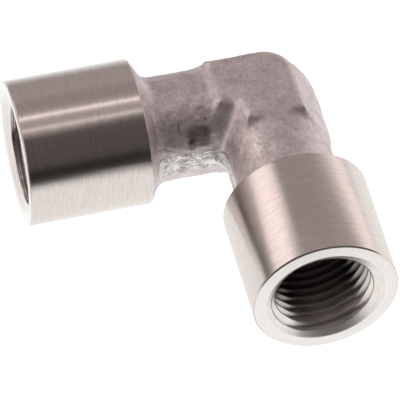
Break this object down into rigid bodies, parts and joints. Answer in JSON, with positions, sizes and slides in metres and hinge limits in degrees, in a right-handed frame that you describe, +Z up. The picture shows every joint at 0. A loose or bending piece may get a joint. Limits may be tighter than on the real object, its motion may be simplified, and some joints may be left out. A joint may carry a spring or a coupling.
{
  "type": "elbow fitting",
  "caption": "Right-angle elbow fitting for air and vacuum lines, with a turned, internally threaded socket at each end of a forged corner block.",
  "frame": {"origin": "centre of the front socket's mouth, on its end face", "axes": "-Y out of the front port, -X out of the left port, +Z up out of the plane of both axes"},
  "size_m": [0.029, 0.029, 0.013],
  "materials": {
    "elbow_body": "satin forged surface, sockets fine-turned to a brushed shine"
  },
  "bodies": {
    "root": {"elbow_body": "elbow_body"}
  },
  "joints": []
}
